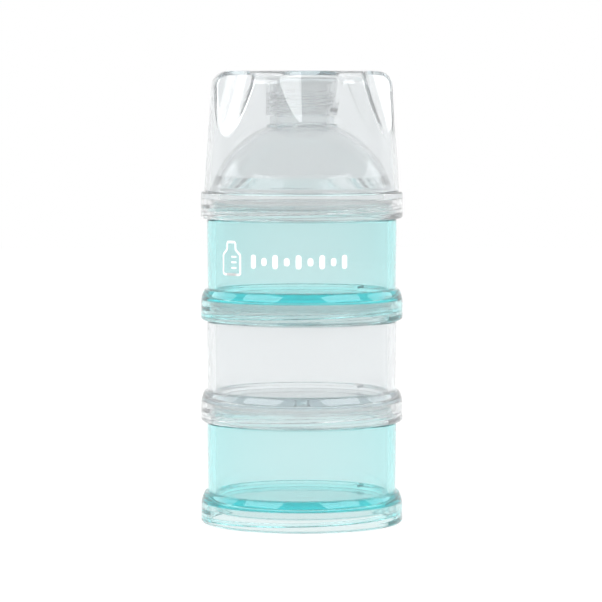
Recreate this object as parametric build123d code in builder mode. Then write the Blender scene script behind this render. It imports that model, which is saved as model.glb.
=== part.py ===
from build123d import *
import math
import os

# A stacking milk-powder dispenser: three identical round tiers that screw together, a domed
# funnel lid with a screwed spout cap, and a fluted dust cap over the top.
# Origin: centre of the base. +Z up. Every piece is drawn where it sits when closed.

# ---- stack ----
TIER_PITCH = 35.25         # one closed tier to the next
TIER_COUNT = 3
SEAM_GAP = 0.3             # skirt edge above the shoulder it closes on
LID_BASE = TIER_COUNT * TIER_PITCH

# ---- screw joint between tiers, heights from the upper piece's lower edge ----
SKIRT_R = 35.0
SKIRT_BORE_R = 33.2
CHANNEL_TOP = 7.0          # roof of the groove that takes the neck below
PLUG_R = 29.9              # rim that drops inside the neck below
PLUG_BORE_R = 28.1
NECK_R = 31.2
NECK_BORE_R = 30.15
NECK_HEIGHT = 5.5
THREAD_LEAD = 5.0
THREAD_STARTS = 2
THREAD_TURNS = 0.72
THREAD_START_Z = 0.9
THREAD_ROOT_W = 1.5
THREAD_CREST_W = 0.8
THREAD_SUNK = 0.3          # share of a ridge's height that is buried in its wall
THREAD_ANGLE = 20.0        # where the male ridges start, from the +X axis
NECK_CREST_R = 32.5
SKIRT_CREST_R = 31.8

# ---- tier, heights from its own lower edge ----
SKIRT_TOP = 10.7
SHOULDER_TURN_Z = 8.35     # where the skirt starts to round over
SHOULDER_TOP_R = 33.7
WALL_FOOT_R = 32.6
WALL_HEAD_R = 32.9
CAVITY_R = 30.0
PLUG_BOTTOM = 4.0
FLOOR_BOTTOM = 7.0
FLOOR_TOP = 9.0
FLOOR_R = 28.0             # the floor is a shallow step below the ledge round it
LEDGE_Z = 10.0
NECK_FOOT = TIER_PITCH - SEAM_GAP
NECK_TOP = NECK_FOOT + NECK_HEIGHT
LUG_ANGLE = 45.0           # locating lug on the ledge, behind and to the right
LUG_WIDTH = 3.0
LUG_HEIGHT = 3.2
LUG_TOP_Z = 10.8           # the lug's upper face
LUG_ROUND = 0.9
LUG_INNER_R = 27.3
LUG_OUTER_R = 30.6
GATE_R = 1.9               # moulding gate mark under the floor
GATE_HEIGHT = 0.6
GATE_SUNK = 0.2            # how far the gate mark runs into the floor

# ---- silicone seal rings, heights from the upper piece's lower edge ----
SEAL_BOTTOM = 5.35
SEAL_TOP = 6.9
SEAL_INNER_R = 30.15
SEAL_OUTER_R = 31.6

# ---- funnel lid, heights from its own lower edge ----
LID_RING_TOP = 9.3
LID_PLUG_BOTTOM = 4.2
THROAT_R = 28.4
DOME_CENTRE_Z = 1.3
DOME_OUTER_R = 32.7
DOME_INNER_R = 31.1
LAND_R = 31.9              # short collar that centres the dust cap
LAND_TOP = 11.1
LAND_LAP = 1.0             # how far the dome's foot runs down into the collar
DOME_FOOT_R = 31.3
BEAD_R = 12.3
BEAD_BOTTOM = 29.9         # inside the dome wall
BEAD_TOP = 32.4
SPOUT_R = 11.2
SPOUT_ROOT_R = 9.9
SPOUT_CREST_R = 10.8
SPOUT_BORE_R = 8.6
SPOUT_STEP = 35.2          # plain neck below, threaded neck above
SPOUT_TOP = 46.2

# ---- spout cap and its liner, heights from the lid's lower edge ----
CAP_BOTTOM = 35.6
CAP_TOP = 48.4
CAP_R = 12.5
CAP_BORE_R = 11.2
CAP_ROOF = 47.3
CAP_CREST_R = 10.3
SPOUT_THREAD_TURNS = 1.4
SPOUT_THREAD_ROOT_W = 1.4
SPOUT_THREAD_CREST_W = 0.7
SPOUT_THREAD_Z = 1.3       # first ridge above each piece's own edge
LINER_R = 10.7
LINER_BOTTOM = SPOUT_TOP + 0.15
LINER_TOP = CAP_ROOF - 0.1
LINER_CHAMFER = 0.15

# ---- dust cap, heights from its own lower edge ----
DUST_BASE = LID_BASE + LID_RING_TOP + 0.1
DUST_HEIGHT = 41.4
DUST_FOOT_R = 33.9
DUST_HEAD_R = 30.97
DUST_WALL = 1.7
DUST_TOP_ROUND = 5.2
FLUTE_COUNT = 6
FLUTE_START = -84.0        # first flute, from the +X axis
FLUTE_R = 30.0
FLUTE_FOOT = (32.6, 19.3)  # radius and height where a flute runs out
FLUTE_HEAD = (26.0, 41.3)  # radius and height of its deepest point
FLUTE_EDGE_ROUND = 0.6
FLUTE_LENGTH = 60.0        # longer than the cap is wide
EDGE_LAP = 1.0             # how far the hollow's cutter runs out below the open edge


def turned(corners, base=0.0, mode=Mode.ADD):
    """Turn an outline of (radius, height, rounding) corners about Z, in the open part."""
    points = [(radius, base + height) for radius, height, _ in corners]
    roundings = [rounding for _, _, rounding in corners]
    with BuildSketch(Plane.XZ) as section:
        with BuildLine():
            FilletPolyline(*points, radius=roundings, close=True)
        make_face()
    revolve(profiles=section.sketch, axis=Axis.Z, mode=mode)


def thread(root_r, crest_r, root_w, crest_w, turns, foot_z, first_angle):
    """Add the ridges of a right-hand screw thread to the open part, one for each start."""
    height = crest_r - root_r
    sunk = THREAD_SUNK * height
    sunk_w = root_w + THREAD_SUNK * (root_w - crest_w)
    outline = [
        (-sunk, -sunk_w / 2),
        (height, -crest_w / 2),
        (height, crest_w / 2),
        (-sunk, sunk_w / 2),
    ]
    for start in range(THREAD_STARTS):
        with BuildLine(Plane.XY.offset(foot_z)) as path:
            Helix(pitch=THREAD_LEAD, height=THREAD_LEAD * turns, radius=root_r)
        wire = path.wire().rotate(Axis.Z, first_angle + start * 360 / THREAD_STARTS)
        foot = wire.position_at(0)
        outward = Vector(foot.X, foot.Y, 0).normalized()
        with BuildSketch(Plane(origin=foot, x_dir=outward, z_dir=wire.tangent_at(0))) as ridge:
            with BuildLine():
                Polyline(*outline, close=True)
            make_face()
        sweep(sections=ridge.sketch, path=wire, is_frenet=True)


def mating_angle(height_difference):
    """Angle of a female thread that puts its ridges midway between the male ones."""
    spacing = THREAD_LEAD / THREAD_STARTS
    return THREAD_ANGLE + 360 * (height_difference + spacing / 2) / THREAD_LEAD


def neck_thread(foot_z):
    thread(NECK_R, NECK_CREST_R, THREAD_ROOT_W, THREAD_CREST_W, THREAD_TURNS,
           foot_z + THREAD_START_Z, THREAD_ANGLE)


def skirt_thread(foot_z):
    thread(SKIRT_BORE_R, SKIRT_CREST_R, THREAD_ROOT_W, THREAD_CREST_W, THREAD_TURNS,
           foot_z + THREAD_START_Z, mating_angle(SEAM_GAP))


os.makedirs("parts", exist_ok=True)

# ---- tiers: wall, screw skirt, floor, plug rim and threaded neck in one moulding ----
TIER_SECTION = [
    (0, FLOOR_BOTTOM, 0),
    (PLUG_BORE_R, FLOOR_BOTTOM, 0.4),
    (PLUG_BORE_R, PLUG_BOTTOM, 0.4),
    (PLUG_R, PLUG_BOTTOM, 0.4),
    (PLUG_R, CHANNEL_TOP, 0),
    (SKIRT_BORE_R, CHANNEL_TOP, 0),
    (SKIRT_BORE_R, 0, 0.2),
    (SKIRT_R, 0, 1.1),
    (SKIRT_R, SHOULDER_TURN_Z, 8.5),
    (SHOULDER_TOP_R, SKIRT_TOP, 0.5),
    (WALL_FOOT_R, SKIRT_TOP, 0.3),
    (WALL_HEAD_R, NECK_FOOT, 0.6),
    (NECK_R, NECK_FOOT, 0),
    (NECK_R, NECK_TOP, 0.3),
    (NECK_BORE_R, NECK_TOP, 0.3),
    (CAVITY_R, LEDGE_Z, 0.5),
    (FLOOR_R, LEDGE_Z, 0.3),
    (FLOOR_R, FLOOR_TOP, 0.5),
    (0, FLOOR_TOP, 0),
]

for level, tier_name in enumerate(["bottom_tier", "middle_tier", "top_tier"]):
    base = level * TIER_PITCH
    across = Vector(1, 0, 0).rotate(Axis.Z, LUG_ANGLE)
    along = Vector(0, 1, 0).rotate(Axis.Z, LUG_ANGLE)
    lug_centre = across * LUG_INNER_R + Vector(0, 0, base + LUG_TOP_Z - LUG_HEIGHT / 2)
    with BuildPart() as tier:
        turned(TIER_SECTION, base)
        neck_thread(base + NECK_FOOT)
        skirt_thread(base)
        with BuildSketch(Plane(origin=lug_centre, x_dir=along, z_dir=across)):
            RectangleRounded(LUG_WIDTH, LUG_HEIGHT, LUG_ROUND)
        extrude(amount=LUG_OUTER_R - LUG_INNER_R)
        with BuildSketch(Plane.XY.offset(base + FLOOR_BOTTOM - GATE_HEIGHT)):
            Circle(GATE_R)
        extrude(amount=GATE_HEIGHT + GATE_SUNK)
    tier.part.label = tier_name
    export_step(tier.part, f"parts/{tier_name}.step")

# ---- seal rings: one in each of the three screw joints, in the groove above the neck ----
SEAL_SECTION = [
    (SEAL_INNER_R, SEAL_BOTTOM, 0.4),
    (SEAL_OUTER_R, SEAL_BOTTOM, 0.4),
    (SEAL_OUTER_R, SEAL_TOP, 0.4),
    (SEAL_INNER_R, SEAL_TOP, 0.4),
]

for level, seal_name in enumerate(["seal_ring_lower", "seal_ring_middle", "seal_ring_upper"]):
    with BuildPart() as seal:
        turned(SEAL_SECTION, (level + 1) * TIER_PITCH)
    seal.part.label = seal_name
    export_step(seal.part, f"parts/{seal_name}.step")

# ---- funnel lid: screw ring, plug, dome and threaded spout ----
LID_RING_SECTION = [
    (THROAT_R, LID_PLUG_BOTTOM, 0.4),
    (PLUG_R, LID_PLUG_BOTTOM, 0.4),
    (PLUG_R, CHANNEL_TOP, 0),
    (SKIRT_BORE_R, CHANNEL_TOP, 0),
    (SKIRT_BORE_R, 0, 0.2),
    (SKIRT_R, 0, 0.7),
    (SKIRT_R, LID_RING_TOP, 0.9),
    (LAND_R, LID_RING_TOP, 0.2),
    (LAND_R, LAND_TOP, 0.4),
    (THROAT_R, LAND_TOP, 0),
]

SPOUT_SECTION = [
    (SPOUT_BORE_R, BEAD_BOTTOM, 0),
    (BEAD_R, BEAD_BOTTOM, 0),
    (BEAD_R, BEAD_TOP, 0.4),
    (SPOUT_R, BEAD_TOP, 0.2),
    (SPOUT_R, SPOUT_STEP, 0.3),
    (SPOUT_ROOT_R, SPOUT_STEP, 0.2),
    (SPOUT_ROOT_R, SPOUT_TOP, 0.3),
    (SPOUT_BORE_R, SPOUT_TOP, 0.3),
]

DOME_FOOT_Z = LID_BASE + LAND_TOP - LAND_LAP


def dome_point(sphere_r, radius):
    """The point of a dome sphere at this distance from the axis."""
    return (radius, LID_BASE + DOME_CENTRE_Z + math.sqrt(sphere_r**2 - radius**2))


with BuildPart() as funnel_lid:
    turned(LID_RING_SECTION, LID_BASE)
    with BuildSketch(Plane.XZ) as dome:
        with BuildLine():
            inside = RadiusArc(dome_point(DOME_INNER_R, SPOUT_BORE_R),
                               dome_point(DOME_INNER_R, THROAT_R), DOME_INNER_R)
            outside = RadiusArc(dome_point(DOME_OUTER_R, SPOUT_BORE_R),
                                dome_point(DOME_OUTER_R, DOME_FOOT_R), DOME_OUTER_R)
            Line(inside @ 0, outside @ 0)
            Polyline(inside @ 1, (THROAT_R, DOME_FOOT_Z), (DOME_FOOT_R, DOME_FOOT_Z), outside @ 1)
        make_face()
    revolve(axis=Axis.Z)
    turned(SPOUT_SECTION, LID_BASE)
    skirt_thread(LID_BASE)
    thread(SPOUT_ROOT_R, SPOUT_CREST_R, SPOUT_THREAD_ROOT_W, SPOUT_THREAD_CREST_W,
           SPOUT_THREAD_TURNS, LID_BASE + SPOUT_STEP + SPOUT_THREAD_Z, THREAD_ANGLE)
funnel_lid.part.label = "funnel_lid"
export_step(funnel_lid.part, "parts/funnel_lid.step")

# ---- spout cap and the sealing disc inside it ----
CAP_SECTION = [
    (CAP_BORE_R, CAP_BOTTOM, 0.2),
    (CAP_R, CAP_BOTTOM, 0.4),
    (CAP_R, CAP_TOP, 0.8),
    (0, CAP_TOP, 0),
    (0, CAP_ROOF, 0),
    (CAP_BORE_R, CAP_ROOF, 0),
]

with BuildPart() as spout_cap:
    turned(CAP_SECTION, LID_BASE)
    thread(CAP_BORE_R, CAP_CREST_R, SPOUT_THREAD_ROOT_W, SPOUT_THREAD_CREST_W,
           SPOUT_THREAD_TURNS, LID_BASE + CAP_BOTTOM + SPOUT_THREAD_Z,
           mating_angle(CAP_BOTTOM - SPOUT_STEP))
spout_cap.part.label = "spout_cap"
export_step(spout_cap.part, "parts/spout_cap.step")

with BuildPart() as spout_cap_liner:
    with BuildSketch(Plane.XY.offset(LID_BASE + LINER_BOTTOM)):
        Circle(LINER_R)
    extrude(amount=LINER_TOP - LINER_BOTTOM)
    chamfer(spout_cap_liner.edges().filter_by(GeomType.CIRCLE), LINER_CHAMFER)
spout_cap_liner.part.label = "spout_cap_liner"
export_step(spout_cap_liner.part, "parts/spout_cap_liner.step")


# ---- dust cap: a tapered cup with six flutes pressed into its upper edge ----
def cut_flutes(flute_r):
    """Cut the ring of leaning hollows into the open part."""
    lean = math.atan2(FLUTE_FOOT[0] - FLUTE_HEAD[0], FLUTE_HEAD[1] - FLUTE_FOOT[1])
    centre_r = FLUTE_HEAD[0] + FLUTE_R * math.cos(lean)
    centre_z = DUST_BASE + FLUTE_HEAD[1] + FLUTE_R * math.sin(lean)
    for flute in range(FLUTE_COUNT):
        turn = FLUTE_START + flute * 360 / FLUTE_COUNT
        centre = Vector(centre_r, 0, centre_z).rotate(Axis.Z, turn)
        direction = Vector(-math.sin(lean), 0, math.cos(lean)).rotate(Axis.Z, turn)
        with BuildSketch(Plane(origin=centre, z_dir=direction)) as hollow:
            Circle(flute_r)
        extrude(to_extrude=hollow.sketch, amount=FLUTE_LENGTH, both=True, mode=Mode.SUBTRACT)


DUST_TAPER = (DUST_FOOT_R - DUST_HEAD_R) / DUST_HEIGHT
DUST_ROOF = DUST_HEIGHT - DUST_WALL

with BuildPart() as dust_space:
    turned([
        (0, -EDGE_LAP, 0),
        (DUST_FOOT_R - DUST_WALL + DUST_TAPER * EDGE_LAP, -EDGE_LAP, 0),
        (DUST_FOOT_R - DUST_WALL - DUST_TAPER * DUST_ROOF, DUST_ROOF, DUST_TOP_ROUND - DUST_WALL),
        (0, DUST_ROOF, 0),
    ], DUST_BASE)
    cut_flutes(FLUTE_R + DUST_WALL)

with BuildPart() as outer_cap:
    turned([
        (0, 0, 0),
        (DUST_FOOT_R, 0, 0.5),
        (DUST_HEAD_R, DUST_HEIGHT, DUST_TOP_ROUND),
        (0, DUST_HEIGHT, 0),
    ], DUST_BASE)
    cut_flutes(FLUTE_R)
    fillet(outer_cap.faces().filter_by(GeomType.CYLINDER).edges(), FLUTE_EDGE_ROUND)
    add(dust_space.part, mode=Mode.SUBTRACT)
outer_cap.part.label = "outer_cap"
export_step(outer_cap.part, "parts/outer_cap.step")
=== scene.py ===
import bpy
import math
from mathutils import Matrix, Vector


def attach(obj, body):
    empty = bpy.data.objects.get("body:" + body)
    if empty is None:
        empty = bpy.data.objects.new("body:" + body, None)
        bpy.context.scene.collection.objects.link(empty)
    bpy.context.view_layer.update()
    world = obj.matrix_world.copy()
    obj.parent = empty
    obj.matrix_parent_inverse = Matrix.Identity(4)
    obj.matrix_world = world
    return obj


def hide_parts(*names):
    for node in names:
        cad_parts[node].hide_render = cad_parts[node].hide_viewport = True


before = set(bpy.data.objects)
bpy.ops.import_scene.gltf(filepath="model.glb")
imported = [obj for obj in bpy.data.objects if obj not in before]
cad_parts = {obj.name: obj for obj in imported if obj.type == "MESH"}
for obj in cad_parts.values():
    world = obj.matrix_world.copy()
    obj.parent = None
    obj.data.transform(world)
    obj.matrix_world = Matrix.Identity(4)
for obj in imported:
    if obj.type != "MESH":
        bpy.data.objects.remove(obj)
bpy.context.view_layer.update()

# A see-through stacking dispenser: aqua, clear and aqua tiers, a clear funnel lid with its spout
# cap, and a clear fluted dust cap. Sizes of the pieces are millimetres, and meshes are made in
# metres, as are the places of the table, the lights and the camera.
MM = 0.001

# ---- stack ----
TIER_PITCH = 35.25
SEAM_GAP = 0.3
LID_BASE = 3 * TIER_PITCH

# ---- screw joint, heights from the upper piece's lower edge ----
SKIRT_R = 35.0
SKIRT_BORE_R = 33.2
CHANNEL_TOP = 7.0
PLUG_R = 29.9
PLUG_BORE_R = 28.1
NECK_R = 31.2
NECK_BORE_R = 30.15
NECK_HEIGHT = 5.5
NECK_CREST_R = 32.5
SKIRT_CREST_R = 31.8
THREAD_LEAD = 5.0
THREAD_STARTS = 2
THREAD_TURNS = 0.72
THREAD_START_Z = 0.9
THREAD_ROOT_W = 1.5
THREAD_CREST_W = 0.8
THREAD_ANGLE = 20.0
THREAD_FADE = 0.14         # share of a turn over which a ridge rises at its ends

# ---- tier ----
SKIRT_TOP = 10.7
SHOULDER_TURN_Z = 8.35
SHOULDER_TOP_R = 33.7
WALL_FOOT_R = 32.6
WALL_HEAD_R = 32.9
CAVITY_R = 30.0
PLUG_BOTTOM = 4.0
FLOOR_BOTTOM = 7.0
FLOOR_TOP = 9.0
FLOOR_R = 28.0
LEDGE_Z = 10.0
NECK_FOOT = TIER_PITCH - SEAM_GAP
NECK_TOP = NECK_FOOT + NECK_HEIGHT
LUG_ANGLE = 45.0
LUG_WIDTH = 3.0
LUG_FOOT = 7.6
LUG_HEAD = 10.8
LUG_INNER_R = 27.3
LUG_ROWS_TOP = LUG_HEAD + 0.8  # above it the inside widens to the neck's bore
LUG_FLANK = 0.9            # over which a lug's sides and foot rise
LUG_HEAD_ROUND = 0.6       # over which it dies out at its head
GATE_R = 1.9
GATE_HEIGHT = 0.6

# ---- funnel lid, spout cap and liner, heights from the lid's lower edge ----
LID_RING_TOP = 9.3
LID_PLUG_BOTTOM = 4.2
THROAT_R = 28.4
DOME_CENTRE_Z = 1.3
DOME_OUTER_R = 32.7
DOME_INNER_R = 31.1
LAND_R = 31.9
LAND_TOP = 11.1
LAND_LAP = 0.6             # how far the dome runs in under the land
BEAD_R = 12.3
BEAD_TOP = 32.4
SPOUT_R = 11.2
SPOUT_ROOT_R = 9.9
SPOUT_CREST_R = 10.8
SPOUT_BORE_R = 8.6
SPOUT_STEP = 35.2
SPOUT_TOP = 46.2
CAP_BOTTOM = 35.6
CAP_TOP = 48.4
CAP_R = 12.5
CAP_BORE_R = 11.2
CAP_ROOF = 47.3
CAP_CREST_R = 10.3
SPOUT_THREAD_TURNS = 1.4
SPOUT_THREAD_ROOT_W = 1.4
SPOUT_THREAD_CREST_W = 0.7
SPOUT_THREAD_Z = 1.3
LINER_R = 10.7
LINER_BOTTOM = 46.35
LINER_TOP = 47.2

# ---- seal rings, heights from the upper piece's lower edge ----
SEAL_BOTTOM = 5.35
SEAL_TOP = 6.9
SEAL_INNER_R = 30.15
SEAL_OUTER_R = 31.6

# ---- dust cap, heights from its own lower edge ----
DUST_BASE = LID_BASE + LID_RING_TOP + 0.1
DUST_HEIGHT = 41.4
DUST_FOOT_R = 33.9
DUST_HEAD_R = 30.97
DUST_WALL = 1.7
DUST_TOP_ROUND = 5.2
FLUTE_COUNT = 6
FLUTE_START = -84.0
FLUTE_R = 30.0
FLUTE_FOOT = (32.6, 19.3)
FLUTE_HEAD = (26.0, 41.3)
FLUTE_EDGE_ROUND = 0.6

# ---- print on the top tier, places from the front line and the stack's foot ----
PRINT_Z = 92.0             # middle of the row of pips
PIP_COUNT = 9
PIP_START = -17.2
PIP_SPACING = 4.02
PIP_HALF_W = 1.0
PIP_HALF_H = (2.4, 1.4)    # tall and short pips by turns
PIP_ROUND = 0.95
BOTTLE_Z = 92.8
BOTTLE_ACROSS = -27.0
BOTTLE_OUTLINE = [(4.3, -5.5), (4.3, 1.2), (2.1, 3.1), (2.1, 5.6)]
BOTTLE_ROUND = 0.8
BOTTLE_LINE = 0.85
MARK_COUNT = 3             # level marks inside the bottle
MARK_ACROSS = BOTTLE_ACROSS + 1.3
MARK_START = BOTTLE_Z - 3.2
MARK_SPACING = 1.9
MARK_HALF_W = 1.3
MARK_HALF_H = 0.3
MARK_ROUND = 0.25
PRINT_PROUD = 0.03
PRINT_DEPTH = 0.06

# ---- fineness of the meshes ----
COLUMNS = 360
CAP_COLUMNS = 720
FINE = 0.07                # spacing of rows where a thread or a lug shapes the wall
CAP_FINE = 0.3             # spacing of rows where the flutes shape the outer cap
ARC_STEP = 9               # most degrees from one point of a rounded corner to the next
DOME_STEPS = 48
SHARP_ANGLE = 32
LUG_STEPS = 18             # extra columns on each side of a lug, and degrees between them
LUG_STEP = 0.25


# ---------------------------------------------------------------- outlines
def corner_arc(before, corner, after, rounding):
    """The points of a rounded corner, from one straight side to the next."""
    corner = Vector(corner)
    to_before = (Vector(before) - corner).normalized()
    to_after = (Vector(after) - corner).normalized()
    half = to_before.angle(to_after) / 2
    reach = rounding / math.tan(half)
    centre = corner + (to_before + to_after).normalized() * rounding / math.sin(half)
    first = corner + to_before * reach - centre
    last = corner + to_after * reach - centre
    sweep = math.pi - 2 * half
    steps = max(3, math.ceil(math.degrees(sweep) / ARC_STEP))
    return [centre + first.slerp(last, step / steps) * rounding for step in range(steps + 1)]


def outline(corners, closed=True):
    """Points of a cross-section given as (radius, height, rounding, row spacing) corners.

    A row spacing adds points along the side that follows its corner, and 0 adds none.
    """
    points = []
    count = len(corners)
    for index, (radius, height, rounding, spacing) in enumerate(corners):
        before = corners[index - 1][:2]
        after = corners[(index + 1) % count][:2]
        if rounding > 0:
            arc = corner_arc(before, (radius, height), after, rounding)
        else:
            arc = [Vector((radius, height))]
        points += [(point, 0) for point in arc[:-1]]
        points.append((arc[-1], spacing))
    if not closed:
        points[-1] = (points[-1][0], 0)
    spaced = []
    for index, (point, spacing) in enumerate(points):
        spaced.append(point)
        if spacing > 0:
            target = points[(index + 1) % len(points)][0]
            rows = max(1, math.ceil((target - point).length / spacing))
            spaced += [point.lerp(target, row / rows) for row in range(1, rows)]
    return spaced


def raised(points, base):
    return [(point[0], point[1] + base) for point in points]


# ---------------------------------------------------------------- meshes
def turned(name, points, angles, shape=None, closed=True):
    """A turned mesh of (radius, height) rows in millimetres, whose radius shape() may change."""
    vertices = []
    rows = []
    for row, (radius, height) in enumerate(points):
        start = len(vertices)
        if radius < 1e-6:
            vertices.append((0, 0, height * MM))
            rows.append([start] * len(angles))
            continue
        for angle in angles:
            r = shape(radius, height, angle, row) if shape else radius
            vertices.append((r * math.cos(angle) * MM, r * math.sin(angle) * MM, height * MM))
        rows.append(range(start, len(vertices)))
    pairs = list(zip(rows, rows[1:]))
    if closed:
        pairs.append((rows[-1], rows[0]))
    faces = []
    for low, high in pairs:
        for column in range(len(angles)):
            follower = (column + 1) % len(angles)
            face = (low[column], low[follower], high[follower], high[column])
            faces.append(tuple(dict.fromkeys(face)))
    return finished_mesh(name, vertices, [face for face in faces if len(face) > 2])


def finished_mesh(name, vertices, faces):
    """A smooth-shaded piece with sharp edges kept."""
    mesh = bpy.data.meshes.new(name)
    mesh.from_pydata(vertices, [], faces)
    mesh.shade_smooth()
    mesh.set_sharp_from_angle(angle=math.radians(SHARP_ANGLE))
    piece = bpy.data.objects.new(name, mesh)
    bpy.context.scene.collection.objects.link(piece)
    normals = piece.modifiers.new("even_normals", "WEIGHTED_NORMAL")
    normals.keep_sharp = True
    normals.weight = 80
    return piece


def full_turn(extra=(), columns=COLUMNS):
    """Evenly spaced angles round the axis, with finer ones within a few degrees of some places."""
    angles = {round(column * 360 / columns, 3) for column in range(columns)}
    for place in extra:
        steps = range(-LUG_STEPS, LUG_STEPS + 1)
        angles |= {round((place + step * LUG_STEP) % 360, 3) for step in steps}
    return [math.radians(angle) for angle in sorted(angles)]


def smooth(value):
    """An even rise from 0 to 1, without corners."""
    value = min(1.0, max(0.0, value))
    return value * value * (3 - 2 * value)


def ridge(angle, height, foot_z, turns, root_w, crest_w, first_angle):
    """How far up its ridge, from 0 to 1, a place on a threaded wall is."""
    best = 0.0
    for start in range(THREAD_STARTS):
        turn = (math.degrees(angle) - first_angle - start * 360 / THREAD_STARTS) / 360 % 1
        while turn <= turns:
            away = abs(height - foot_z - THREAD_LEAD * turn)
            flank = smooth((root_w / 2 - away) / (root_w / 2 - crest_w / 2))
            ends = smooth(turn / THREAD_FADE) * smooth((turns - turn) / THREAD_FADE)
            best = max(best, flank * ends)
            turn += 1
    return best


def mating_angle(height_difference):
    """Angle of a female thread that puts its ridges midway between the male ones."""
    spacing = THREAD_LEAD / THREAD_STARTS
    return THREAD_ANGLE + 360 * (height_difference + spacing / 2) / THREAD_LEAD


def neck_ridge(angle, height, foot_z):
    return ridge(angle, height, foot_z + THREAD_START_Z, THREAD_TURNS,
                 THREAD_ROOT_W, THREAD_CREST_W, THREAD_ANGLE)


def skirt_ridge(angle, height, foot_z):
    return ridge(angle, height, foot_z + THREAD_START_Z, THREAD_TURNS,
                 THREAD_ROOT_W, THREAD_CREST_W, mating_angle(SEAM_GAP))


def same(a, b):
    return abs(a - b) < 1e-3


def soft_min(a, b, width):
    """The smaller of two values, with the change from one to the other rounded off."""
    near = max(width - abs(a - b), 0) / width
    return min(a, b) - near * near * width / 4


# ---------------------------------------------------------------- pieces
def placed(piece, material):
    """Put a skin on the body and the node that it is named after."""
    body = node = piece.name.removesuffix("_skin")
    piece.data.materials.append(material)
    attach(piece, body)
    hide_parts(node)


TIER_SECTION = [
    (0, FLOOR_BOTTOM - GATE_HEIGHT, 0, 0),
    (GATE_R, FLOOR_BOTTOM - GATE_HEIGHT, 0.2, 0),
    (GATE_R, FLOOR_BOTTOM, 0.2, 0),
    (PLUG_BORE_R, FLOOR_BOTTOM, 0.4, 0),
    (PLUG_BORE_R, PLUG_BOTTOM, 0.4, 0),
    (PLUG_R, PLUG_BOTTOM, 0.4, 0),
    (PLUG_R, CHANNEL_TOP, 0.2, 0),
    (SKIRT_BORE_R, CHANNEL_TOP, 0.3, FINE),
    (SKIRT_BORE_R, 0, 0.2, 0),
    (SKIRT_R, 0, 1.1, 0),
    (SKIRT_R, SHOULDER_TURN_Z, 8.5, 0),
    (SHOULDER_TOP_R, SKIRT_TOP, 0.5, 0),
    (WALL_FOOT_R, SKIRT_TOP, 0.3, 0),
    (WALL_HEAD_R, NECK_FOOT, 0.6, 0),
    (NECK_R, NECK_FOOT, 0.1, FINE),
    (NECK_R, NECK_TOP, 0.3, 0),
    (NECK_BORE_R, NECK_TOP, 0.3, 0),
    (CAVITY_R, LUG_ROWS_TOP, 0, FINE),
    (CAVITY_R, LEDGE_Z, 0.5, FINE),
    (FLOOR_R, LEDGE_Z, 0.3, FINE),
    (FLOOR_R, FLOOR_TOP, 0.5, 0),
    (0, FLOOR_TOP, 0, 0),
]


def lug_share(angle, height):
    """How far the tier's inside is brought forward for its lug, from 0 to 1."""
    beside = abs(angle - math.radians(LUG_ANGLE)) * LUG_INNER_R
    across = smooth((LUG_WIDTH / 2 + LUG_FLANK / 2 - beside) / LUG_FLANK)
    foot = smooth((height - LUG_FOOT + LUG_FLANK / 2) / LUG_FLANK)
    head = smooth((LUG_HEAD + LUG_HEAD_ROUND / 2 - height) / LUG_HEAD_ROUND)
    return across * foot * head


def tier(name, level, material):
    """One tier: wall, threaded skirt, plug floor and threaded neck."""
    base = level * TIER_PITCH

    def shape(radius, height, angle, row):
        if same(radius, NECK_R):
            return radius + (NECK_CREST_R - NECK_R) * neck_ridge(angle, height, base + NECK_FOOT)
        if same(radius, SKIRT_BORE_R):
            return radius - (SKIRT_BORE_R - SKIRT_CREST_R) * skirt_ridge(angle, height, base)
        if FLOOR_R < radius < CAVITY_R + 0.1:
            return radius - (radius - LUG_INNER_R) * lug_share(angle, height - base)
        return radius

    points = raised(outline(TIER_SECTION, closed=False), base)
    piece = turned(name, points, full_turn([LUG_ANGLE]), shape, closed=False)
    placed(piece, material)


def seal_ring(name, level, material):
    """Ring over a neck's top, in the channel of the piece above."""
    corners = [
        (SEAL_INNER_R, SEAL_BOTTOM, 0.4, 0),
        (SEAL_OUTER_R, SEAL_BOTTOM, 0.4, 0),
        (SEAL_OUTER_R, SEAL_TOP, 0.4, 0),
        (SEAL_INNER_R, SEAL_TOP, 0.4, 0),
    ]
    piece = turned(name, raised(outline(corners), level * TIER_PITCH), full_turn())
    placed(piece, material)


def sphere_z(sphere_r, radius):
    return DOME_CENTRE_Z + math.sqrt(sphere_r**2 - radius**2)


def dome_arc(sphere_r, from_r, to_r):
    """Points of a dome sphere between two distances from the axis."""
    first = math.acos(from_r / sphere_r)
    last = math.acos(to_r / sphere_r)
    turns = [first + (last - first) * step / DOME_STEPS for step in range(DOME_STEPS + 1)]
    return [
        Vector((sphere_r * math.cos(turn), DOME_CENTRE_Z + sphere_r * math.sin(turn)))
        for turn in turns
    ]


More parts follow.
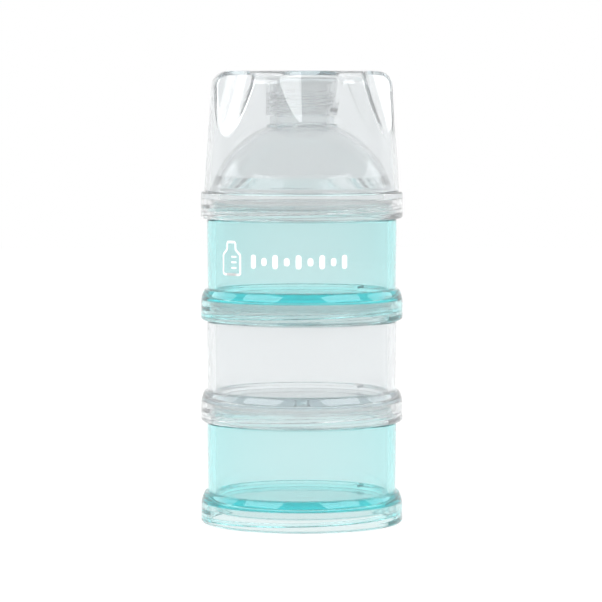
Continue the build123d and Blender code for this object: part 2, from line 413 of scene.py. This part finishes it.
def funnel_lid(material):
    """Screw ring, plug, dome and threaded spout."""
    land_edge = LAND_R - LAND_LAP
    ring = [
        (THROAT_R, LID_PLUG_BOTTOM, 0.4, 0),
        (PLUG_R, LID_PLUG_BOTTOM, 0.4, 0),
        (PLUG_R, CHANNEL_TOP, 0.2, 0),
        (SKIRT_BORE_R, CHANNEL_TOP, 0.3, FINE),
        (SKIRT_BORE_R, 0, 0.2, 0),
        (SKIRT_R, 0, 0.7, 0),
        (SKIRT_R, LID_RING_TOP, 0.9, 0),
        (LAND_R, LID_RING_TOP, 0.2, 0),
        (LAND_R, LAND_TOP, 0.3, 0),
        (land_edge, sphere_z(DOME_OUTER_R, land_edge), 0, 0),
        (land_edge, 0, 0, 0),
    ]
    spout = [
        (SPOUT_BORE_R, 0, 0, 0),
        (BEAD_R, sphere_z(DOME_OUTER_R, BEAD_R), 0, 0),
        (BEAD_R, BEAD_TOP, 0.3, 0),
        (SPOUT_R, BEAD_TOP, 0.2, 0),
        (SPOUT_R, SPOUT_STEP, 0.3, 0),
        (SPOUT_ROOT_R, SPOUT_STEP, 0.2, FINE),
        (SPOUT_ROOT_R, SPOUT_TOP, 0.3, 0),
        (SPOUT_BORE_R, SPOUT_TOP, 0.3, 0),
        (SPOUT_BORE_R, sphere_z(DOME_INNER_R, SPOUT_BORE_R), 0, 0),
    ]
    points = outline(ring)[:-1]
    points += dome_arc(DOME_OUTER_R, land_edge, BEAD_R)[1:-1]
    points += outline(spout)[1:]
    points += dome_arc(DOME_INNER_R, SPOUT_BORE_R, THROAT_R)[1:]

    def shape(radius, height, angle, row):
        if same(radius, SKIRT_BORE_R):
            return radius - (SKIRT_BORE_R - SKIRT_CREST_R) * skirt_ridge(angle, height, LID_BASE)
        if same(radius, SPOUT_ROOT_R):
            foot = LID_BASE + SPOUT_STEP + SPOUT_THREAD_Z
            return radius + (SPOUT_CREST_R - SPOUT_ROOT_R) * ridge(
                angle, height, foot, SPOUT_THREAD_TURNS, SPOUT_THREAD_ROOT_W,
                SPOUT_THREAD_CREST_W, THREAD_ANGLE)
        return radius

    piece = turned("funnel_lid_skin", raised(points, LID_BASE), full_turn(), shape)
    placed(piece, material)


def spout_cap(material):
    """Screw cap with a thread inside."""
    section = [
        (0, CAP_ROOF, 0, 0),
        (CAP_BORE_R, CAP_ROOF, 0.3, FINE),
        (CAP_BORE_R, CAP_BOTTOM, 0.2, 0),
        (CAP_R, CAP_BOTTOM, 0.4, 0),
        (CAP_R, CAP_TOP, 0.8, 0),
        (0, CAP_TOP, 0, 0),
    ]

    def shape(radius, height, angle, row):
        if same(radius, CAP_BORE_R):
            foot = LID_BASE + CAP_BOTTOM + SPOUT_THREAD_Z
            return radius - (CAP_BORE_R - CAP_CREST_R) * ridge(
                angle, height, foot, SPOUT_THREAD_TURNS, SPOUT_THREAD_ROOT_W,
                SPOUT_THREAD_CREST_W, mating_angle(CAP_BOTTOM - SPOUT_STEP))
        return radius

    points = raised(outline(section, closed=False), LID_BASE)
    piece = turned("spout_cap_skin", points, full_turn(), shape, closed=False)
    placed(piece, material)


def liner(material):
    """Flat sealing disc under the spout cap's roof."""
    section = [
        (0, LINER_BOTTOM, 0, 0),
        (LINER_R, LINER_BOTTOM, 0.2, 0),
        (LINER_R, LINER_TOP, 0.2, 0),
        (0, LINER_TOP, 0, 0),
    ]
    points = raised(outline(section, closed=False), LID_BASE)
    piece = turned("spout_cap_liner_skin", points, full_turn(), closed=False)
    placed(piece, material)


def flute_reach(angle, height, flute_r):
    """Distance from the axis to the nearest flute's surface, at an angle and a height."""
    lean = math.atan2(FLUTE_FOOT[0] - FLUTE_HEAD[0], FLUTE_HEAD[1] - FLUTE_FOOT[1])
    centre_r = FLUTE_HEAD[0] + FLUTE_R * math.cos(lean)
    centre_z = FLUTE_HEAD[1] + FLUTE_R * math.sin(lean)
    pitch = 360 / FLUTE_COUNT
    beside = math.radians((math.degrees(angle) - FLUTE_START + pitch / 2) % pitch - pitch / 2)
    offset = (height - centre_z) * math.sin(lean) - centre_r * math.cos(lean)
    square = (math.cos(beside) * math.cos(lean)) ** 2 + math.sin(beside) ** 2
    linear = 2 * math.cos(beside) * math.cos(lean) * offset
    inside = linear**2 - 4 * square * (offset**2 - flute_r**2)
    if inside <= 0:
        return SKIRT_R * 2
    return (-linear - math.sqrt(inside)) / (2 * square)


def outer_cap(material):
    """Tapered cup with flutes pressed into its upper edge, the same thickness all over."""
    taper = (DUST_FOOT_R - DUST_HEAD_R) / DUST_HEIGHT
    roof = DUST_HEIGHT - DUST_WALL
    inner_foot = DUST_FOOT_R - DUST_WALL
    outside = outline([
        (inner_foot, 0, 0, 0),
        (DUST_FOOT_R, 0, 0.5, CAP_FINE),
        (DUST_HEAD_R, DUST_HEIGHT, DUST_TOP_ROUND, CAP_FINE),
        (0, DUST_HEIGHT, 0, 0),
    ], closed=False)[1:]
    inside = outline([
        (0, roof, 0, CAP_FINE),
        (inner_foot - taper * roof, roof, DUST_TOP_ROUND - DUST_WALL, CAP_FINE),
        (inner_foot, 0, 0.2, 0),
        (DUST_FOOT_R, 0, 0, 0),
    ], closed=False)[:-1]

    def shape(radius, height, angle, row):
        flute_r = FLUTE_R if row < len(outside) else FLUTE_R + DUST_WALL
        return soft_min(radius, flute_reach(angle, height - DUST_BASE, flute_r), FLUTE_EDGE_ROUND)

    points = raised(outside + inside, DUST_BASE)
    piece = turned("outer_cap_skin", points, full_turn(columns=CAP_COLUMNS), shape)
    placed(piece, material)


# ---------------------------------------------------------------- print on the top tier
def wall_radius(height):
    """Radius of the top tier's outer wall at a height."""
    local = height - 2 * TIER_PITCH
    share = (local - SKIRT_TOP) / (NECK_FOOT - SKIRT_TOP)
    return WALL_FOOT_R + (WALL_HEAD_R - WALL_FOOT_R) * share


def on_wall(across, height, depth):
    """A place on the top tier's outer wall, across millimetres to the right of its front line."""
    radius = wall_radius(height) + PRINT_PROUD + depth
    angle = across / radius - math.pi / 2
    return (radius * math.cos(angle) * MM, radius * math.sin(angle) * MM, height * MM)


def ink_area(vertices, faces, rim):
    """Add a thin closed island of ink with this rim of (across, height) points."""
    start = len(vertices)
    count = len(rim)
    middle = sum((Vector(point) for point in rim), Vector((0, 0))) / count
    for depth in (0, PRINT_DEPTH):
        vertices += [on_wall(*point, depth) for point in rim]
        vertices.append(on_wall(*middle, depth))
    upper = start + count + 1
    for index in range(count):
        follower = (index + 1) % count
        faces.append((start + follower, start + index, start + count))
        faces.append((upper + index, upper + follower, upper + count))
        faces.append((start + index, start + follower, upper + follower, upper + index))


def ink_line(vertices, faces, path, width):
    """Add a closed loop of ink of one width along a path of (across, height) points."""
    start = len(vertices)
    count = len(path)
    for index, point in enumerate(path):
        ahead = Vector(path[(index + 1) % count]) - Vector(path[index - 1])
        side = Vector((ahead.y, -ahead.x)).normalized() * width / 2
        for offset, depth in ((side, 0), (side, PRINT_DEPTH), (-side, PRINT_DEPTH), (-side, 0)):
            vertices.append(on_wall(point[0] + offset.x, point[1] + offset.y, depth))
    for index in range(count):
        here = start + 4 * index
        there = start + 4 * ((index + 1) % count)
        for corner in range(4):
            follower = (corner + 1) % 4
            faces.append((here + corner, there + corner, there + follower, here + follower))


def smooth_loop(corners, rounding):
    """A closed path through corners, each of them rounded."""
    path = []
    for index, corner in enumerate(corners):
        before = corners[index - 1]
        after = corners[(index + 1) % len(corners)]
        path += [tuple(point) for point in corner_arc(before, corner, after, rounding)]
    return path


def ink_bar(vertices, faces, place, half_size, rounding):
    """Add a rounded upright bar of ink about a (across, height) place."""
    corners = [(place[0] + side * half_size[0], place[1] + up * half_size[1])
               for side, up in ((-1, -1), (1, -1), (1, 1), (-1, 1))]
    ink_area(vertices, faces, smooth_loop(corners, rounding))


def printed_marks(material):
    """A plain feeding-bottle outline and a row of pips, in white ink on the front of the top tier."""
    vertices = []
    faces = []
    bottle = [(BOTTLE_ACROSS + across, BOTTLE_Z + height) for across, height in BOTTLE_OUTLINE]
    bottle += [(BOTTLE_ACROSS - across, BOTTLE_Z + height) for across, height in reversed(BOTTLE_OUTLINE)]
    ink_line(vertices, faces, smooth_loop(bottle, BOTTLE_ROUND), BOTTLE_LINE)
    for mark in range(MARK_COUNT):
        place = (MARK_ACROSS, MARK_START + mark * MARK_SPACING)
        ink_bar(vertices, faces, place, (MARK_HALF_W, MARK_HALF_H), MARK_ROUND)
    for pip in range(PIP_COUNT):
        place = (PIP_START + pip * PIP_SPACING, PRINT_Z)
        ink_bar(vertices, faces, place, (PIP_HALF_W, PIP_HALF_H[pip % 2]), PIP_ROUND)
    piece = finished_mesh("printed_marks", vertices, faces)
    piece.data.materials.append(material)
    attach(piece, "top_tier")


# ---------------------------------------------------------------- materials
SPECK_SCALE = 900          # of the specks that make the gloss uneven
WAVE_HEIGHT = 0.00004      # of the flow waves, in metres


def new_material(name):
    """A material with its nodes, its links and its own shader."""
    material = bpy.data.materials.new(name)
    material.use_nodes = True
    nodes = material.node_tree.nodes
    return material, nodes, material.node_tree.links, nodes["Principled BSDF"]


def moulded_surface(nodes, links, shader, roughness, spread, waves):
    """Uneven gloss and the slight flow waves of a moulded wall."""
    place = nodes.new("ShaderNodeTexCoord")
    stretched = nodes.new("ShaderNodeMapping")
    stretched.inputs["Scale"].default_value = (1, 1, 0.22)
    links.new(place.outputs["Object"], stretched.inputs["Vector"])
    flow = nodes.new("ShaderNodeTexNoise")
    flow.inputs["Scale"].default_value = waves
    flow.inputs["Detail"].default_value = 2
    links.new(stretched.outputs["Vector"], flow.inputs["Vector"])
    speck = nodes.new("ShaderNodeTexNoise")
    speck.inputs["Scale"].default_value = SPECK_SCALE
    speck.inputs["Detail"].default_value = 4
    links.new(place.outputs["Object"], speck.inputs["Vector"])
    gloss = nodes.new("ShaderNodeMapRange")
    gloss.inputs["From Min"].default_value = 0.35
    gloss.inputs["From Max"].default_value = 0.75
    gloss.inputs["To Min"].default_value = roughness
    gloss.inputs["To Max"].default_value = roughness + spread
    links.new(speck.outputs["Fac"], gloss.inputs["Value"])
    links.new(gloss.outputs["Result"], shader.inputs["Roughness"])
    bump = nodes.new("ShaderNodeBump")
    bump.inputs["Strength"].default_value = 1.0
    bump.inputs["Distance"].default_value = WAVE_HEIGHT
    links.new(flow.outputs["Fac"], bump.inputs["Height"])
    links.new(bump.outputs["Normal"], shader.inputs["Normal"])


def see_through(name, colour, density, haze, milk, roughness, spread, ior=1.5, waves=55):
    """Clear moulded plastic whose colour deepens with the thickness that is looked through."""
    material, nodes, links, shader = new_material(name)
    shader.inputs["Base Color"].default_value = (*haze, 1)
    shader.inputs["Transmission Weight"].default_value = 1 - milk
    shader.inputs["IOR"].default_value = ior
    moulded_surface(nodes, links, shader, roughness, spread, waves)
    tint = nodes.new("ShaderNodeVolumeAbsorption")
    tint.inputs["Color"].default_value = (*colour, 1)
    tint.inputs["Density"].default_value = density
    links.new(tint.outputs["Volume"], nodes["Material Output"].inputs["Volume"])
    return material


def ink():
    """White screen-printed ink, a little uneven."""
    material, nodes, links, shader = new_material("white_ink")
    speck = nodes.new("ShaderNodeTexNoise")
    speck.inputs["Scale"].default_value = 2500
    shade = nodes.new("ShaderNodeValToRGB")
    shade.color_ramp.elements[0].position = 0.3
    shade.color_ramp.elements[0].color = (0.88, 0.9, 0.9, 1)
    shade.color_ramp.elements[1].position = 0.7
    shade.color_ramp.elements[1].color = (1, 1, 1, 1)
    links.new(speck.outputs["Fac"], shade.inputs["Fac"])
    links.new(shade.outputs["Color"], shader.inputs["Base Color"])
    shader.inputs["Roughness"].default_value = 0.45
    return material


aqua = see_through(
    "aqua_plastic", colour=(0.0, 0.96, 0.97), density=100,
    haze=(0.98, 0.925, 0.925), milk=0.05, roughness=0.01, spread=0.04)
clear = see_through(
    "clear_plastic", colour=(0.2, 0.5, 0.58), density=12,
    haze=(0.968, 0.975, 0.98), milk=0.12, roughness=0.02, spread=0.05)
clear_lid = see_through(
    "clear_lid_plastic", colour=(0.2, 0.5, 0.58), density=10,
    haze=(0.988, 0.992, 0.994), milk=0.1, roughness=0.02, spread=0.05)
clear_cap = see_through(
    "clear_cap_plastic", colour=(0.2, 0.5, 0.58), density=12,
    haze=(0.96, 0.972, 0.978), milk=0.12, roughness=0.01, spread=0.04)
silicone = see_through(
    "clear_silicone", colour=(0.3, 0.5, 0.5), density=20,
    haze=(1.0, 1.0, 1.0), milk=0.1, roughness=0.1, spread=0.08, ior=1.41, waves=200)

tier("bottom_tier_skin", 0, aqua)
tier("middle_tier_skin", 1, clear)
tier("top_tier_skin", 2, aqua)
for level, seal_name in enumerate(["seal_ring_lower", "seal_ring_middle", "seal_ring_upper"]):
    seal_ring(seal_name + "_skin", level + 1, silicone)
funnel_lid(clear_lid)
spout_cap(clear_lid)
liner(silicone)
outer_cap(clear_cap)
printed_marks(ink())


# ---------------------------------------------------------------- floor, light and camera
TABLE_R = 2.0
AIM = Vector((0, 0, 0.1))  # a little over the dispenser's middle, where the softboxes point
CAMERA_PLACE = (-0.0003, -1.15, 0.15)
CAMERA_TIP = 3.64          # degrees below level


def floor():
    """A pale round table top, evenly lit."""
    turns = [math.radians(degrees) for degrees in range(0, 360, 3)]
    rim = [(TABLE_R * math.cos(turn), TABLE_R * math.sin(turn), 0) for turn in turns]
    mesh = bpy.data.meshes.new("table_top")
    mesh.from_pydata(rim, [], [tuple(range(len(rim)))])
    table_top = bpy.data.objects.new("table_top", mesh)
    bpy.context.scene.collection.objects.link(table_top)
    material, _, _, shader = new_material("pale_table")
    shader.inputs["Base Color"].default_value = (0.1, 0.1, 0.1, 1)
    shader.inputs["Roughness"].default_value = 1.0
    shader.inputs["Specular IOR Level"].default_value = 0.0
    shader.inputs["Emission Color"].default_value = (1, 1, 1, 1)
    shader.inputs["Emission Strength"].default_value = 0.93
    mesh.materials.append(material)


def studio_light():
    """A white studio: bright behind the object, dimmer in front, with two softboxes on each side."""
    world = bpy.data.worlds.new("studio")
    bpy.context.scene.world = world
    world.use_nodes = True
    nodes = world.node_tree.nodes
    links = world.node_tree.links
    background = nodes["Background"]
    place = nodes.new("ShaderNodeTexCoord")
    parts = nodes.new("ShaderNodeSeparateXYZ")
    links.new(place.outputs["Generated"], parts.inputs["Vector"])
    sides = nodes.new("ShaderNodeMapRange")
    sides.interpolation_type = "SMOOTHSTEP"
    sides.inputs["From Min"].default_value = 0.34
    sides.inputs["From Max"].default_value = 0.48
    sides.inputs["To Min"].default_value = 0.76
    sides.inputs["To Max"].default_value = 1.0
    links.new(parts.outputs["Y"], sides.inputs["Value"])
    links.new(sides.outputs["Result"], background.inputs["Color"])
    background.inputs["Strength"].default_value = 1.0
    softbox("left_softbox", (-0.95, -0.75, 0.85), 1.1, 0.6, 8.5)
    softbox("right_softbox", (0.95, -0.75, 0.85), 1.1, 0.6, 8.5)
    softbox("left_back_softbox", (-1.2, 0.45, 0.6), 1.0, 0.5, 4)
    softbox("right_back_softbox", (1.2, 0.45, 0.6), 1.0, 0.5, 4)


def softbox(name, place, width, height, power):
    """A soft light aimed at the dispenser."""
    light = bpy.data.lights.new(name, "AREA")
    light.shape = "RECTANGLE"
    light.size = width
    light.size_y = height
    light.energy = power
    lamp = bpy.data.objects.new(name, light)
    bpy.context.scene.collection.objects.link(lamp)
    lamp.location = place
    lamp.rotation_mode = "QUATERNION"
    lamp.rotation_quaternion = (AIM - lamp.location).to_track_quat("-Z", "Y")


def camera():
    """Long lens, a little above the object and tipped down to it."""
    data = bpy.data.cameras.new("camera")
    data.sensor_width = 36
    data.lens = 198.3
    data.clip_end = 100
    view = bpy.data.objects.new("camera", data)
    bpy.context.scene.collection.objects.link(view)
    view.location = CAMERA_PLACE
    view.rotation_euler = (math.radians(90 - CAMERA_TIP), 0, 0)
    bpy.context.scene.camera = view


floor()
studio_light()
camera()

scene = bpy.context.scene
scene.view_settings.view_transform = "Standard"
scene.cycles.max_bounces = 32
scene.cycles.transmission_bounces = 32
scene.cycles.glossy_bounces = 32
scene.cycles.diffuse_bounces = 8
scene.cycles.transparent_max_bounces = 16
